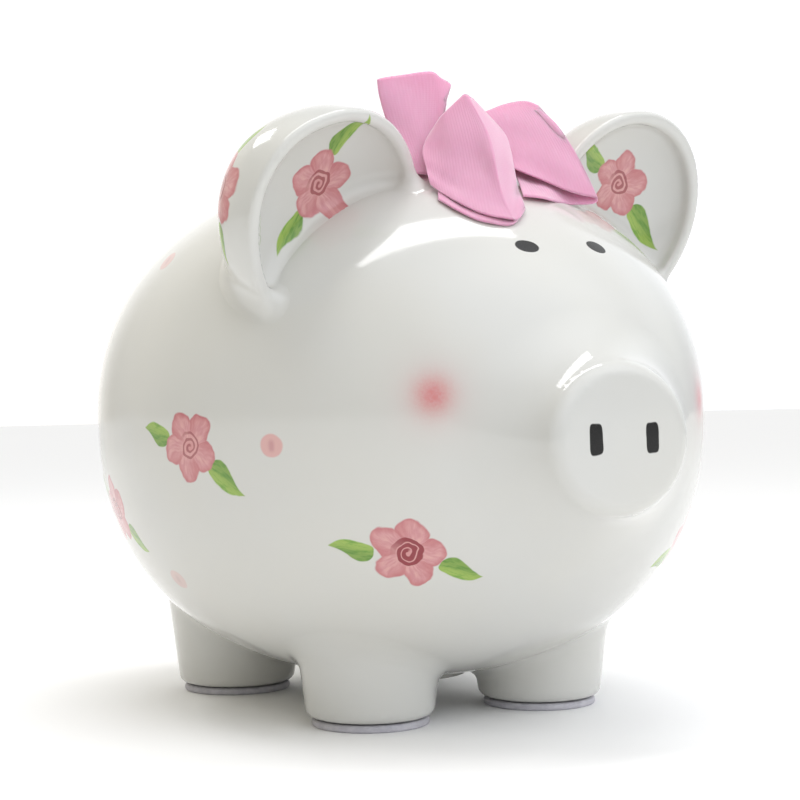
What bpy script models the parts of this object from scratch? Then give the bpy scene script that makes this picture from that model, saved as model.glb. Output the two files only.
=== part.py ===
"""Ceramic piggy bank with a ribbon bow, modelled at rest in metres with +Z up.

The pig looks along -Y and +X is its left side. The origin is under the middle of its length and width, on
the surface that its foot pads stand on.
"""

from math import cos, pi, radians, sin, sqrt

import bmesh
import bpy
from mathutils import Matrix, Vector

MM = 0.001
GAP = 0.3 * MM  # between pieces that touch

# Body: an egg whose level sections are ellipses and whose upright sections are rounder than an ellipse
BODY_CENTRE = Vector((0.0, 4.7 * MM, 83.4 * MM))
BODY_HALF_WIDTH = 83.5 * MM
BODY_HALF_LENGTH = 95.3 * MM
BODY_RISE = 71.7 * MM  # centre to the top of the back
BODY_DROP = 75.0 * MM  # centre to the belly
BACK_POWER = 2.12
BELLY_POWER = 2.3
WALL = 5.0 * MM

# Snout: an oval drum on a level axis
SNOUT_FACE_Y = -100.0 * MM
SNOUT_Z = 76.8 * MM
SNOUT_HALF_HEIGHT = 20.2 * MM
SNOUT_WIDENING = 1.13  # width over height
SNOUT_RIM = 3.0 * MM
SNOUT_ROOT_Y = -72.0 * MM

# Legs, each turned round an upright axis
LEG_X = 28.3 * MM
LEG_FRONT_Y = -25.4 * MM
LEG_REAR_Y = 52.0 * MM
PAD_RADIUS = 15.9 * MM
PAD_THICKNESS = 2.0 * MM

# Ears: thick cups that look forward. They are stuck on by hand, so the two differ a little. lean turns an
# ear's base up from level, yaw swings its outer edge back, and pitch tips its top forward, all in degrees.
EAR_WALL = 5.0 * MM
EAR_CUP_DEPTH = 13.0 * MM
RIGHT_EAR = {
    "centre": (44.7 * MM, -46.3 * MM, 133.3 * MM),
    "half_base": 32.0 * MM,
    "half_height": 29.0 * MM,
    "depth": 28.0 * MM,
    "lean": 22.0,
    "yaw": -12.0,
    "pitch": 17.5,
    "power": 2.2,
}
LEFT_EAR = {
    "centre": (45.9 * MM, -45.3 * MM, 137.5 * MM),
    "half_base": 27.0 * MM,
    "half_height": 32.2 * MM,
    "depth": 25.0 * MM,
    "lean": 42.0,
    "yaw": 5.0,
    "pitch": 11.0,
    "power": 2.0,
}

# Coin slot along the back, and the stopper's hole under the belly
SLOT_Y = 36.0 * MM
SLOT_LENGTH = 42.0 * MM
SLOT_WIDTH = 5.2 * MM
HOLE_Y = BODY_CENTRE.y
HOLE_RADIUS = 16.0 * MM
SEAT_Z = 10.4 * MM  # flat ring round the hole, which the stopper's flange presses against
SEAT_RADIUS = 22.0 * MM

# Stopper
STOPPER_CLEARANCE = 0.4 * MM
FLANGE_RADIUS = 20.0 * MM
FLANGE_THICKNESS = 2.4 * MM
PLUG_HEIGHT = 11.0 * MM
PLUG_WALL = 2.4 * MM

# Bow, tied from ribbon and stuck to the head between the ears
KNOT = Vector((0.0, -38.0 * MM, 158.5 * MM))
KNOT_RADIUS = 6.8 * MM
BAND_WIDTH = 12.0 * MM
BOW_TURN = radians(-21)  # the bow is turned to face a little to the pig's right


def clear_scene():
    for obj in list(bpy.data.objects):
        bpy.data.objects.remove(obj, do_unlink=True)


def principled(name, colour, roughness, metallic=0.0):
    material = bpy.data.materials.new(name)
    material.use_nodes = True
    shader = material.node_tree.nodes["Principled BSDF"]
    shader.inputs["Base Color"].default_value = (*colour, 1.0)
    shader.inputs["Roughness"].default_value = roughness
    shader.inputs["Metallic"].default_value = metallic
    return material


def add_mesh(name, bm, material=None):
    """A new object from a bmesh, with its faces turned outwards."""
    bmesh.ops.recalc_face_normals(bm, faces=bm.faces)
    mesh = bpy.data.meshes.new(name)
    bm.to_mesh(mesh)
    bm.free()
    obj = bpy.data.objects.new(name, mesh)
    bpy.context.scene.collection.objects.link(obj)
    if material:
        mesh.materials.append(material)
    mesh.shade_smooth()
    mesh.set_sharp_from_angle(angle=radians(40))
    return obj


def as_cutter(obj):
    obj.hide_render = True
    obj.display_type = "WIRE"
    return obj


def boolean(obj, other, operation):
    modifier = obj.modifiers.new(f"{operation.lower()} {other.name}", "BOOLEAN")
    modifier.operation = operation
    modifier.solver = "EXACT"
    modifier.object = as_cutter(other)


def signed_power(value, power):
    return abs(value) ** power if value >= 0 else -(abs(value) ** power)


def body_height(x, y, grow=0.0):
    """Height of the back's surface over a point of the floor."""
    across = sqrt((x / (BODY_HALF_WIDTH + grow)) ** 2 + ((y - BODY_CENTRE.y) / (BODY_HALF_LENGTH + grow)) ** 2)
    return BODY_CENTRE.z + (BODY_RISE + grow) * (1.0 - across**BACK_POWER) ** (1.0 / BACK_POWER)


def body_egg(name, grow, around, levels, material=None):
    """The body's egg, offset outwards by grow."""
    bm = bmesh.new()
    rings = []
    for i in range(1, levels):
        tilt = pi * i / levels - pi / 2
        upper = tilt >= 0
        power = 2.0 / (BACK_POWER if upper else BELLY_POWER)
        rise = (BODY_RISE if upper else BODY_DROP) + grow
        level = signed_power(sin(tilt), power) * rise
        reach = cos(tilt) ** power
        ring = []
        for k in range(around):
            turn = 2 * pi * k / around
            x = reach * cos(turn) * (BODY_HALF_WIDTH + grow)
            y = reach * sin(turn) * (BODY_HALF_LENGTH + grow)
            ring.append(bm.verts.new(BODY_CENTRE + Vector((x, y, level))))
        rings.append(ring)
    bottom = bm.verts.new(BODY_CENTRE - Vector((0, 0, BODY_DROP + grow)))
    top = bm.verts.new(BODY_CENTRE + Vector((0, 0, BODY_RISE + grow)))
    for lower, upper in zip(rings, rings[1:]):
        for k in range(around):
            m = (k + 1) % around
            bm.faces.new((lower[k], lower[m], upper[m], upper[k]))
    for k in range(around):
        m = (k + 1) % around
        bm.faces.new((bottom, rings[0][m], rings[0][k]))
        bm.faces.new((top, rings[-1][k], rings[-1][m]))
    return add_mesh(name, bm, material)


def turned(name, profile, around, material=None, place=Matrix(), power=2.0):
    """A closed solid round Z from (radius, height) pairs that start and end on the axis.

    power 2 turns a circle; a higher power squares it a little.
    """
    bm = bmesh.new()
    angles = [2 * pi * k / around for k in range(around)]
    circle = [(signed_power(cos(a), 2 / power), signed_power(sin(a), 2 / power)) for a in angles]
    rings = []
    for radius, height in profile:
        if radius == 0.0:
            rings.append([bm.verts.new((0, 0, height))])
            continue
        rings.append([bm.verts.new((radius * u, radius * v, height)) for u, v in circle])
    for low, high in zip(rings, rings[1:]):
        for k in range(around):
            m = (k + 1) % around
            if len(low) == 1:
                bm.faces.new((low[0], high[k], high[m]))
            elif len(high) == 1:
                bm.faces.new((low[m], low[k], high[0]))
            else:
                bm.faces.new((low[k], low[m], high[m], high[k]))
    bmesh.ops.transform(bm, matrix=place, verts=bm.verts)
    return add_mesh(name, bm, material)


def arc(centre, radius, start, end, steps):
    """Points of a round corner, from the start angle to the end angle in degrees."""
    angles = [radians(start + (end - start) * i / steps) for i in range(steps + 1)]
    return [(centre[0] + radius * cos(a), centre[1] + radius * sin(a)) for a in angles]


def hull(name, points, material):
    """A plain convex solid round a set of points."""
    bm = bmesh.new()
    verts = [bm.verts.new(p) for p in points]
    made = bmesh.ops.convex_hull(bm, input=verts)
    spare = list({*made["geom_interior"], *made["geom_unused"]})
    bmesh.ops.delete(bm, geom=spare, context="VERTS")
    return add_mesh(name, bm, material)


def box(name, low, high):
    bm = bmesh.new()
    bmesh.ops.create_cube(bm, size=1.0)
    for vert in bm.verts:
        vert.co = [low[i] + (vert.co[i] + 0.5) * (high[i] - low[i]) for i in range(3)]
    return add_mesh(name, bm)


def leg_spots():
    """Name and floor position of each leg."""
    for end, y in (("front", LEG_FRONT_Y), ("rear", LEG_REAR_Y)):
        for side, x in (("left", LEG_X), ("right", -LEG_X)):
            yield f"{end}_{side}", Vector((x, y, 0.0))


def leg(name, spot):
    """Outer skin of one leg: a rounded foot, a narrower ankle and a flare into the belly."""
    sole = PAD_THICKNESS + GAP
    profile = [
        (0.0, sole),
        (16.4 * MM, sole),
        (17.6 * MM, 4.4 * MM),
        (18.4 * MM, 8.0 * MM),
        (18.0 * MM, 12.5 * MM),
        (16.8 * MM, 17.0 * MM),
        (16.6 * MM, 21.0 * MM),
        (18.2 * MM, 25.5 * MM),
        (19.5 * MM, 32.0 * MM),
        (0.0, 36.0 * MM),
    ]
    return turned(name, profile, 36, place=Matrix.Translation(spot))


def snout_place():
    """Lays an upright turned shape along the snout's axis, widened to the snout's oval, with its +Z forward."""
    widen = Matrix.Diagonal((SNOUT_WIDENING, 1.0, 1.0, 1.0))
    return Matrix.Translation((0, 0, SNOUT_Z)) @ widen @ Matrix.Rotation(radians(90), 4, "X")


def snout(name):
    face = -SNOUT_FACE_Y
    edge = SNOUT_HALF_HEIGHT
    rim = arc((edge - SNOUT_RIM, face - SNOUT_RIM), SNOUT_RIM, 0, 90, 4)
    flare = [(edge + 4.5 * MM, 86.0 * MM), (edge + 2.2 * MM, 89.0 * MM), (edge + 0.7 * MM, 92.5 * MM)]
    profile = [(0.0, -SNOUT_ROOT_Y), (edge + 4.5 * MM, -SNOUT_ROOT_Y), *flare, *rim, (0.0, face)]
    return turned(name, profile, 40, place=snout_place())


def snout_hollow(name):
    face = -SNOUT_FACE_Y - WALL
    profile = [(0.0, 70 * MM), (14 * MM, 70 * MM), (14 * MM, face - 3 * MM), (11 * MM, face), (0.0, face)]
    return turned(name, profile, 20, place=snout_place())


def body_shell(glaze):
    """Slip-cast shell: body, snout and four legs in one casting, with the slot and the hole cut."""
    shell = body_egg("body_shell", 0.0, 64, 32, glaze)
    boolean(shell, snout("snout_outer"), "UNION")
    for spot_name, spot in leg_spots():
        boolean(shell, leg(f"leg_outer_{spot_name}", spot), "UNION")
    seat = turned(
        "hole_boss",
        [(0.0, SEAT_Z), (SEAT_RADIUS + 3 * MM, SEAT_Z), (SEAT_RADIUS, SEAT_Z + WALL), (0.0, SEAT_Z + WALL)],
        40,
        place=Matrix.Translation((0, HOLE_Y, 0)),
    )
    recess = turned(
        "seat_recess",
        [(0.0, 0.0), (SEAT_RADIUS, 0.0), (SEAT_RADIUS, SEAT_Z), (0.0, SEAT_Z)],
        40,
        place=Matrix.Translation((0, HOLE_Y, 0)),
    )
    boolean(shell, recess, "DIFFERENCE")
    boolean(shell, body_egg("body_hollow", -WALL, 44, 22), "DIFFERENCE")
    boolean(shell, snout_hollow("snout_inner"), "DIFFERENCE")
    boolean(shell, seat, "UNION")
    hole = turned(
        "stopper_hole",
        [(0.0, 0.0), (HOLE_RADIUS, 0.0), (HOLE_RADIUS, 30 * MM), (0.0, 30 * MM)],
        48,
        place=Matrix.Translation((0, HOLE_Y, 0)),
    )
    boolean(shell, hole, "DIFFERENCE")
    half = SLOT_WIDTH / 2
    slot = box("coin_slot", (-half, SLOT_Y - SLOT_LENGTH / 2, 0.125), (half, SLOT_Y + SLOT_LENGTH / 2, 0.170))
    boolean(shell, slot, "DIFFERENCE")
    return shell


def ear(name, side, shape, glaze):
    """A thick cup with a rolled rim, whose lower part the body cuts away. side is +1 for the pig's left."""
    half_base = shape["half_base"]
    rim = EAR_WALL / 2
    relative = rim / half_base
    depth = shape["depth"]
    profile = [(0.0, -depth)]
    for i in range(1, 7):
        turn = radians(90 * i / 6)
        profile.append((sin(turn) ** 0.8, -rim - (depth - rim) * cos(turn) ** 0.8))
    profile += [(1.0 - 0.3 * relative, -0.5 * rim), (1.0 - relative, 0.0), (1.0 - 1.8 * relative, -rim)]
    for i in range(1, 4):
        turn = radians(90 * i / 4)
        profile.append(((1.0 - 2.0 * relative) * cos(turn), -rim - (EAR_CUP_DEPTH - rim) * sin(turn)))
    profile.append((0.0, -EAR_CUP_DEPTH))
    lean = radians(shape["lean"])
    along = Vector((-side * cos(lean), 0, sin(lean)))
    out = Vector((side * sin(lean), 0, cos(lean)))
    forward = Vector((0, -1, 0))
    stretch = Matrix((along * half_base, out * shape["half_height"], forward)).transposed().to_4x4()
    aim = Matrix.Rotation(side * radians(shape["yaw"]), 4, "Z") @ Matrix.Rotation(radians(shape["pitch"]), 4, "X")
    place = Matrix.Translation(Vector((side * shape["centre"][0], *shape["centre"][1:]))) @ aim @ stretch
    piece = turned(name, profile, 40, glaze, place, shape["power"])
    boolean(piece, body_egg(f"{name}_seat", GAP, 64, 32), "DIFFERENCE")
    return piece


def foot_pad(name, spot, felt):
    """Soft disc under one leg."""
    edge = 0.4 * MM
    profile = [
        (0.0, 0.0),
        (PAD_RADIUS - edge, 0.0),
        (PAD_RADIUS, edge),
        (PAD_RADIUS, PAD_THICKNESS - edge),
        (PAD_RADIUS - edge, PAD_THICKNESS),
        (0.0, PAD_THICKNESS),
    ]
    return turned(name, profile, 40, felt, Matrix.Translation(spot))


def belly_stopper(rubber):
    """Soft cup-shaped stopper with a flange and a finger bar. Its origin is on the axis it pulls out along."""
    flange_top = SEAT_Z - GAP
    flange_low = flange_top - FLANGE_THICKNESS
    outer = HOLE_RADIUS - STOPPER_CLEARANCE
    inner = outer - PLUG_WALL
    top = flange_top + PLUG_HEIGHT
    profile = [
        (0.0, flange_low),
        (FLANGE_RADIUS - 0.8 * MM, flange_low),
        (FLANGE_RADIUS, flange_low + 0.8 * MM),
        (FLANGE_RADIUS, flange_top),
        (outer, flange_top),
        (outer, top - 1.5 * MM),
        (outer - 1.0 * MM, top),
        (inner, top),
        (inner, flange_top + 0.6 * MM),
        (0.0, flange_top + 0.6 * MM),
    ]
    stopper = turned("belly_stopper", profile, 40, rubber)
    bar = box("stopper_bar", (-9 * MM, -1.5 * MM, flange_low - 2.6 * MM), (9 * MM, 1.5 * MM, flange_low + 0.5 * MM))
    boolean(stopper, bar, "UNION")
    stopper.location = (0, HOLE_Y, 0)
    return stopper


def above_head(x, y, lift):
    """A point lift above the head's surface, from millimetres."""
    x, y, lift = x * MM, y * MM, lift * MM
    return Vector((x, y, body_height(x, y) + lift))


def at_mm(x, y, z):
    return Vector((x, y, z)) * MM


def bow(ribbon, glue):
    """Plain solids for the bow: two loops, two tails and the band that gathers them, on a spot of glue."""
    hull(
        "bow_loop_left",
        [
            at_mm(9, -35, 166), at_mm(9, -44, 163), at_mm(9, -46, 150), above_head(9, -51, 2.8),
            at_mm(15, -41, 167.5), at_mm(12, -47, 154), at_mm(20, -50, 160.5), at_mm(25, -54.5, 150),
            above_head(28, -57.5, 2.8), above_head(20, -58, 2.8), above_head(17, -53, 2.8),
        ],
        ribbon,
    )
    hull(
        "bow_loop_right",
        [
            at_mm(-7.4, -27, 177), at_mm(-7.4, -34, 163), at_mm(-7.4, -27, 158), at_mm(-21, -26, 174),
            at_mm(-22, -32, 166), at_mm(-16, -35, 155), at_mm(-16, -26, 158),
        ],
        ribbon,
    )
    hull(
        "bow_tail_front",
        [
            at_mm(0, -46.5, 165), at_mm(-9, -46.5, 160), at_mm(-19, -46.8, 152), above_head(-21, -51, 2.6),
            above_head(-18, -59, 2.6), above_head(-9, -68, 2.6), above_head(1, -60, 2.6), at_mm(6, -49, 157),
            at_mm(0, -46.5, 152), above_head(-10, -50, 2.6), above_head(2, -55, 2.6),
        ],
        ribbon,
    )
    hull(
        "bow_tail_rear",
        [
            at_mm(8, -31, 164), at_mm(-4, -26, 164), at_mm(8, -31, 156), at_mm(-4, -26, 156),
            above_head(-4, -2, 2.6), above_head(20, -6, 2.6), above_head(-4, -4, 5), above_head(18, -8, 5),
            above_head(10, -20, 2.6), above_head(-4, -16, 2.6),
        ],
        ribbon,
    )
    band = [(5.6 * MM, -BAND_WIDTH / 2), (KNOT_RADIUS, 0.0), (5.6 * MM, BAND_WIDTH / 2)]
    place = Matrix.Translation(KNOT) @ Matrix.Rotation(BOW_TURN, 4, "Z") @ Matrix.Rotation(radians(90), 4, "Y")
    turned("bow_knot", [(0.0, -BAND_WIDTH / 2), *band, (0.0, BAND_WIDTH / 2)], 20, ribbon, place)
    foot = above_head(0, -38, 0)
    pad = turned(
        "bow_glue_pad",
        [(0.0, -9.0 * MM), (9.0 * MM, -9.0 * MM), (6.5 * MM, 0.6 * MM), (0.0, 1.8 * MM)],
        24,
        glue,
        Matrix.Translation(foot) @ Matrix.Rotation(radians(22), 4, "X"),
    )
    boolean(pad, body_egg("glue_seat", GAP, 64, 32), "DIFFERENCE")


def build():
    clear_scene()
    glaze = principled("white glaze", (0.86, 0.86, 0.84), 0.08)
    felt = principled("grey foot pad", (0.62, 0.61, 0.64), 0.6)
    rubber = principled("clear soft vinyl", (0.72, 0.72, 0.70), 0.4)
    ribbon = principled("pink ribbon", (0.90, 0.52, 0.66), 0.7)
    glue = principled("hot-melt glue", (0.80, 0.76, 0.66), 0.35)
    body_shell(glaze)
    ear("ear_right", -1, RIGHT_EAR, glaze)
    ear("ear_left", 1, LEFT_EAR, glaze)
    for spot_name, spot in leg_spots():
        foot_pad(f"foot_pad_{spot_name}", spot, felt)
    belly_stopper(rubber)
    bow(ribbon, glue)


build()
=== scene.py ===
"""Looks of a painted ceramic piggy bank with a ribbon bow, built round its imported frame.

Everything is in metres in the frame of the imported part: +Z is up, the pig looks along -Y and +X is its left
side. The glazed pieces are fine meshes of smooth solids. Each solid is a function that gives about the
distance to its surface, below 0 inside. The painting is worked out in the glaze's nodes, from marks laid on
the meshes.
"""

from math import cos, pi, radians, sin

import bmesh
import bpy
import numpy as np
from mathutils import Matrix, Vector


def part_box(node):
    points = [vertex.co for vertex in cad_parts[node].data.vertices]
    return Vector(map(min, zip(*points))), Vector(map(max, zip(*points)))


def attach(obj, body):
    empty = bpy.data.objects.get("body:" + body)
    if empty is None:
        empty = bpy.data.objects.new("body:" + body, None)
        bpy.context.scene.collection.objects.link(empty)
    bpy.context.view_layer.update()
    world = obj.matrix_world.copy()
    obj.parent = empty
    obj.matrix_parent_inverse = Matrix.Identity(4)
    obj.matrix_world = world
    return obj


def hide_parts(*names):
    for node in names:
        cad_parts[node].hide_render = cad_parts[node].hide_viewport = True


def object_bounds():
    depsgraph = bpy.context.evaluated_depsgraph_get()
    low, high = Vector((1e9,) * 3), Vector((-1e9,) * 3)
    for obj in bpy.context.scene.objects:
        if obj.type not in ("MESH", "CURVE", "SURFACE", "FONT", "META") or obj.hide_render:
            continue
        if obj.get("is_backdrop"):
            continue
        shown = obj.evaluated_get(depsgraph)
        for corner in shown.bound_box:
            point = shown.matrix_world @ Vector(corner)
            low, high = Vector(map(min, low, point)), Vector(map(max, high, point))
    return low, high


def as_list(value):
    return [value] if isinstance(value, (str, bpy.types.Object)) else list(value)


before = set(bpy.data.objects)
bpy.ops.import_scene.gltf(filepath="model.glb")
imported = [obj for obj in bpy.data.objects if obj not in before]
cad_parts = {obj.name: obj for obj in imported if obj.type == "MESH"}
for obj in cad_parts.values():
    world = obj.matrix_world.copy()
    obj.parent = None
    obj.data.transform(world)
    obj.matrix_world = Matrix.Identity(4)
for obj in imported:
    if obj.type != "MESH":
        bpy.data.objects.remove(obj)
cad_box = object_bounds()

MM = 0.001
SHELL_LOW, SHELL_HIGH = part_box("body_shell")

# The body's egg: level sections are ellipses, upright sections are rounder
HALF_WIDTH = SHELL_HIGH.x
HALF_LENGTH = 95.3 * MM
RISE = 71.7 * MM
DROP = 75.0 * MM
CENTRE = np.array((0.0, SHELL_HIGH.y - HALF_LENGTH, SHELL_HIGH.z - RISE))
BACK_POWER = 2.12
BELLY_POWER = 2.3
WALL = 5.0 * MM

# Snout
SNOUT_FACE = -SHELL_LOW.y
SNOUT_Z = 76.8 * MM
SNOUT_HALF_HEIGHT = 18.4 * MM
SNOUT_FLARE = 0.32
SNOUT_WIDENING = 1.13
SNOUT_RIM = 2.6 * MM
SNOUT_FILLET = 9.0 * MM
SNOUT_ROOT_Y = -60.0 * MM

# Legs
SOLE = SHELL_LOW.z
LEG_RADIUS = 17.2 * MM
LEG_TAPER = 0.13
LEG_TOP = 40.0 * MM
SOLE_ROUND = 2.2 * MM
LEG_FILLET = 3.5 * MM

# Coin slot and the stopper's hole, with the rounding of their edges
SLOT_Y = 36.0 * MM
SLOT_HALF_LENGTH = 21.0 * MM
SLOT_HALF_WIDTH = 2.6 * MM
HOLE_RADIUS = 16.0 * MM
SEAT_Z = 10.4 * MM
SEAT_RADIUS = 22.0 * MM
SEAT_LIP = 2.0 * MM
SLOT_EDGE = 1.4 * MM
HOLE_EDGE = 0.8 * MM
RECESS_EDGE = 0.6 * MM
INNER_EDGE = 1.0 * MM
BOSS_FILLET = 1.5 * MM
STOPPER_LOW, STOPPER_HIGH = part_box("belly_stopper")
HOLE_X, HOLE_Y = (STOPPER_LOW.x + STOPPER_HIGH.x) / 2, (STOPPER_LOW.y + STOPPER_HIGH.y) / 2

# Ears: thick cups that look forward, each set one by one. Angles are in degrees.
EAR_RIM = 2.5 * MM
EAR_WALL = 3.4 * MM
EAR_EDGE = 1.5 * MM
EAR_CUP_DEPTH = 10.0 * MM
EAR_FILLET = 5.0 * MM
EAR_ROOT = 3.0 * MM
EAR_OVERLAP = 0.08 * MM
EAR_POWER = 2.5
EARS = {
    "ear_right": {
        "side": -1, "centre": (48.2, -46.3, 132.0), "half_base": 28.3, "half_height": 29.0, "depth": 28.0,
        "lean": 22.0, "yaw": -12.0, "pitch": 17.5, "power": 2.2,
    },
    "ear_left": {
        "side": 1, "centre": (45.9, -45.3, 137.5), "half_base": 27.0, "half_height": 32.2, "depth": 25.0,
        "lean": 42.0, "yaw": 5.0, "pitch": 11.0, "power": 2.0,
    },
}

# Sizes of the grids that the fine meshes are made on
BODY_CELL = 1.6 * MM
EAR_CELL = 1.0 * MM
SMALL_CELL = 0.6 * MM


# ---- Solids as functions of points ----


def merge(a, b, radius):
    """Union with a round fillet."""
    near = np.hypot(np.maximum(radius - a, 0), np.maximum(radius - b, 0))
    return np.maximum(radius, np.minimum(a, b)) - near


def common(a, b, radius):
    """Intersection with a rounded edge."""
    near = np.hypot(np.maximum(radius + a, 0), np.maximum(radius + b, 0))
    return np.minimum(-radius, np.maximum(a, b)) + near


def measured(solid, points, step=0.02 * MM):
    """A solid's function and its gradient at each point."""
    here = solid(points)
    ahead = np.stack([solid(points + shift) for shift in np.eye(3) * step], axis=-1)
    return here, (ahead - here[:, None]) / step


def normals_of(solid, points):
    normals = measured(solid, points)[1]
    return normals / np.linalg.norm(normals, axis=1)[:, None]


def as_distance(solid, points):
    """A function that is 0 on a surface, scaled to be about the distance from it."""
    here, gradient = measured(solid, points)
    return here / np.maximum(np.linalg.norm(gradient, axis=-1), 1e-6)


def egg(points, grow=0.0):
    x, y, z = (points - CENTRE).T
    upper = z > 0
    power = np.where(upper, BACK_POWER, BELLY_POWER)
    level = np.hypot(x / (HALF_WIDTH + grow), y / (HALF_LENGTH + grow)) + 1e-9
    up = np.abs(z) / (np.where(upper, RISE, DROP) + grow) + 1e-9
    size = (level**power + up**power) ** (1 / power)
    level_slope = (level / size) ** (power - 1)
    level_slope *= np.hypot(x / (HALF_WIDTH + grow) ** 2, y / (HALF_LENGTH + grow) ** 2) / level
    up_slope = (up / size) ** (power - 1) / (np.where(upper, RISE, DROP) + grow)
    return (size - 1) / np.hypot(level_slope, up_slope)


def column(points, x, y):
    """Distance of each point from an upright axis."""
    return np.hypot(points[:, 0] - x, points[:, 1] - y)


def snout(points, grow=0.0):
    across = np.hypot(points[:, 0] / SNOUT_WIDENING, points[:, 2] - SNOUT_Z)
    behind = points[:, 1] + SNOUT_FACE
    side = (across - SNOUT_HALF_HEIGHT - SNOUT_FLARE * behind) / np.hypot(1, SNOUT_FLARE)
    drum = common(side - grow, -behind - grow, SNOUT_RIM)
    return np.maximum(drum, points[:, 1] - SNOUT_ROOT_Y)


def leg(points, x, y):
    z = points[:, 2]
    side = (column(points, x, y) - LEG_RADIUS - LEG_TAPER * (z - SOLE)) / np.hypot(1, LEG_TAPER)
    return np.maximum(common(side, SOLE - z, SOLE_ROUND), z - LEG_TOP)


def leg_spots():
    """Name and place of each foot."""
    for end in ("front", "rear"):
        for side in ("left", "right"):
            low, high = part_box(f"foot_pad_{end}_{side}")
            yield f"{end}_{side}", (low.x + high.x) / 2, (low.y + high.y) / 2


def shell(points):
    """The hollow casting: egg, snout and legs, less the hollow, the coin slot and the stopper's hole."""
    solid = merge(egg(points), snout(points), SNOUT_FILLET)
    for _, x, y in leg_spots():
        solid = merge(solid, leg(points, x, y), LEG_FILLET)
    z = points[:, 2]
    from_hole = column(points, HOLE_X, HOLE_Y)
    recess = np.maximum(from_hole - SEAT_RADIUS, z - SEAT_Z)
    solid = common(solid, -recess, RECESS_EDGE)
    hollow = merge(egg(points, -WALL), snout(points, -WALL), WALL)
    solid = common(solid, -hollow, INNER_EDGE)
    boss = np.maximum(from_hole - SEAT_RADIUS - SEAT_LIP, np.abs(z - SEAT_Z - WALL / 2) - WALL / 2)
    solid = merge(solid, boss, BOSS_FILLET)
    hole = np.maximum(from_hole - HOLE_RADIUS, z - CENTRE[2])
    solid = common(solid, -hole, HOLE_EDGE)
    along = np.maximum(np.abs(points[:, 1] - SLOT_Y) - SLOT_HALF_LENGTH + SLOT_HALF_WIDTH, 0)
    slot = np.maximum(np.hypot(points[:, 0], along) - SLOT_HALF_WIDTH, CENTRE[2] - z)
    return common(solid, -slot, SLOT_EDGE)


# ---- Fine meshes of those solids ----


def surface_net(solid, low, high, cell):
    """Points and quads of a solid's surface inside a box: one point in each grid cell that it crosses."""
    axes = [np.arange(a, b + cell, cell) for a, b in zip(low, high)]
    counts = [len(a) for a in axes]
    grid = np.stack(np.meshgrid(*axes, indexing="ij"), axis=-1).reshape(-1, 3)
    inside = (solid(grid) < 0).reshape(counts)
    corners = np.zeros([n - 1 for n in counts], int)
    for i, j, k in np.ndindex(2, 2, 2):
        corners += inside[i : counts[0] - 1 + i, j : counts[1] - 1 + j, k : counts[2] - 1 + k]
    crossed = (corners > 0) & (corners < 8)
    index = np.full(corners.shape, -1)
    index[crossed] = np.arange(crossed.sum())
    points = np.argwhere(crossed) * cell + [a[0] + cell / 2 for a in axes]
    quads = []
    for axis in range(3):
        first = inside.take(range(counts[axis] - 1), axis)
        second = inside.take(range(1, counts[axis]), axis)
        cut = np.argwhere(first != second)
        inner = [k for k in range(3) if k != axis]
        cut = cut[(cut[:, inner] > 0).all(axis=1)]
        cut = cut[(cut[:, inner] < np.array(counts)[inner] - 1).all(axis=1)]
        outwards = first[tuple(cut.T)]
        ring = []
        for shift_a, shift_b in ((0, 0), (-1, 0), (-1, -1), (0, -1)):
            at = cut.copy()
            at[:, (axis + 1) % 3] += shift_a
            at[:, (axis + 2) % 3] += shift_b
            ring.append(index[tuple(at.T)])
        ring = np.stack(ring, axis=-1)
        ring[~outwards] = ring[~outwards, ::-1]
        quads.append(ring)
    return points, np.concatenate(quads)


def onto_surface(solid, points, rounds):
    for _ in range(rounds):
        here, gradient = measured(solid, points)
        size = np.maximum((gradient**2).sum(axis=1), 1e-3)
        points = points - gradient * np.clip(here / size, -2 * MM, 2 * MM)[:, None]
    return points


def relaxed(points, quads):
    """Each point moved to the middle of its neighbours."""
    total = np.zeros_like(points)
    count = np.zeros(len(points))
    for k in range(4):
        for m in ((k + 1) % 4, (k + 3) % 4):
            np.add.at(total, quads[:, k], points[quads[:, m]])
            np.add.at(count, quads[:, k], 1)
    return total / count[:, None]


def mesh_object(name, points, faces, normals=None):
    mesh = bpy.data.meshes.new(name)
    mesh.from_pydata([tuple(p) for p in points], [], [tuple(f) for f in faces.tolist()])
    mesh.shade_smooth()
    if normals is not None:
        mesh.normals_split_custom_set_from_vertices([tuple(n) for n in normals])
    obj = bpy.data.objects.new(name, mesh)
    bpy.context.scene.collection.objects.link(obj)
    return obj


def smooth_solid(name, solid, low, high, cell):
    """A fine mesh of a solid, with its points evenly spread and its normals taken from the solid itself."""
    points, quads = surface_net(solid, low, high, cell)
    points = onto_surface(solid, points, 2)
    for _ in range(3):
        points = onto_surface(solid, relaxed(points, quads), 2)
    return mesh_object(name, points, quads, normals_of(solid, points))


def around(low, high, margin):
    return [c - margin for c in low], [c + margin for c in high]


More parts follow.
